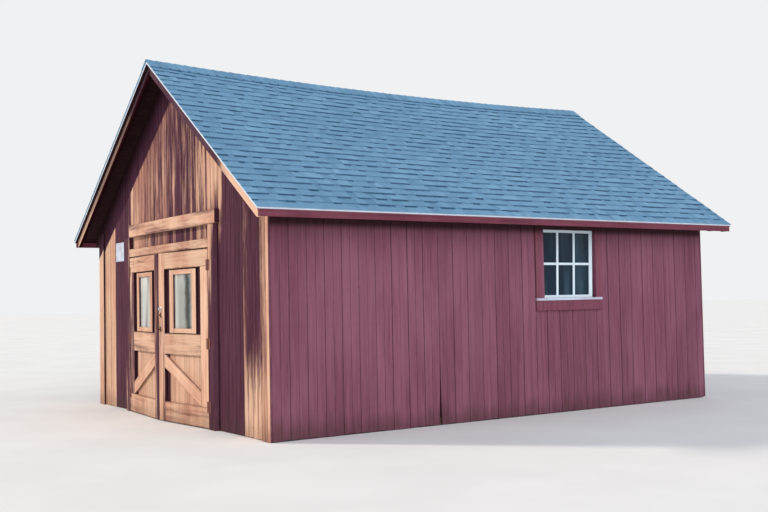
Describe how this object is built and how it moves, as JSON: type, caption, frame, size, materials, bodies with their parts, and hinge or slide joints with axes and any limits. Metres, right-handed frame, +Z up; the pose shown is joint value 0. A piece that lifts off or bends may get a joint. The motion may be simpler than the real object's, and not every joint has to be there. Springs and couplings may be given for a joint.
{
  "type": "storage shed",
  "caption": "Timber storage shed with a sagging shingled gable roof, a pair of hinged plank doors in the front gable and a small side window.",
  "frame": {"origin": "middle of the footprint, on the ground", "axes": "+Z up, -Y out of the front gable with the doors, +X out of the wall with the window, ridge along Y"},
  "size_m": [6.024, 7.314, 4.4894],
  "materials": {
    "frame_timber": "rough sawn, aged",
    "barn_red_boards": "weathered red paint on vertical boards",
    "sun_worn_boards": "red paint worn thin by the sun",
    "red_trim": "painted trim boards",
    "roof_boards": "aged sheathing",
    "shingles": "granular asphalt",
    "white_metal": "white enamel",
    "white_paint": "weathered white paint",
    "glass": "old clear glass",
    "old_iron": "rusty, once painted",
    "bright_metal": "worn plated steel"
  },
  "bodies": {
    "shed": {"sill_timbers": "frame_timber", "side_wall_studs": "frame_timber", "gable_wall_studs": "frame_timber", "wall_plates": "frame_timber", "rafters": "frame_timber", "ridge_board": "frame_timber", "collar_ties": "frame_timber", "left_wall": "barn_red_boards", "right_wall_front": "barn_red_boards", "right_wall_middle": "barn_red_boards", "right_wall_rear": "barn_red_boards", "right_wall_at_window": "barn_red_boards", "back_wall": "barn_red_boards", "front_wall_left": "sun_worn_boards", "front_wall_right": "barn_red_boards", "front_gable": "sun_worn_boards", "corner_boards": "sun_worn_boards", "roof_deck_left": "roof_boards", "roof_deck_right": "roof_boards", "shingles_left": "shingles", "shingles_right": "shingles", "ridge_cap": "shingles", "fascia_boards": "red_trim", "rake_boards": "red_trim", "drip_edges": "white_metal", "door_casings": "sun_worn_boards", "lower_header": "sun_worn_boards", "upper_header": "sun_worn_boards", "door_hinge_casing_halves": "old_iron", "window_frame": "red_trim", "window_sash": "white_paint", "window_glass": "glass", "window_sill": "white_paint", "window_trim": "red_trim"},
    "left_door": {"left_door_panel": "sun_worn_boards", "left_door_face_frame": "sun_worn_boards", "left_door_light_trim": "sun_worn_boards", "left_door_glass": "glass", "left_door_hinge_halves": "old_iron"},
    "right_door": {"right_door_panel": "sun_worn_boards", "right_door_face_frame": "sun_worn_boards", "right_door_light_trim": "sun_worn_boards", "right_door_glass": "glass", "right_door_hinge_halves": "old_iron", "pull_handle": "old_iron", "latch_plate": "bright_metal"}
  },
  "joints": [
    {"name": "left_door_hinge", "type": "hinge", "parent": "shed", "child": "left_door", "pos_m": [-1.3245, -3.418, 0], "axis": [0, 0, -1], "range_deg": [-4.3, 155.7]},
    {"name": "right_door_hinge", "type": "hinge", "parent": "shed", "child": "right_door", "pos_m": [1.2525, -3.418, 0], "axis": [0, 0, 1], "range_deg": [-4.3, 155.7]}
  ]
}
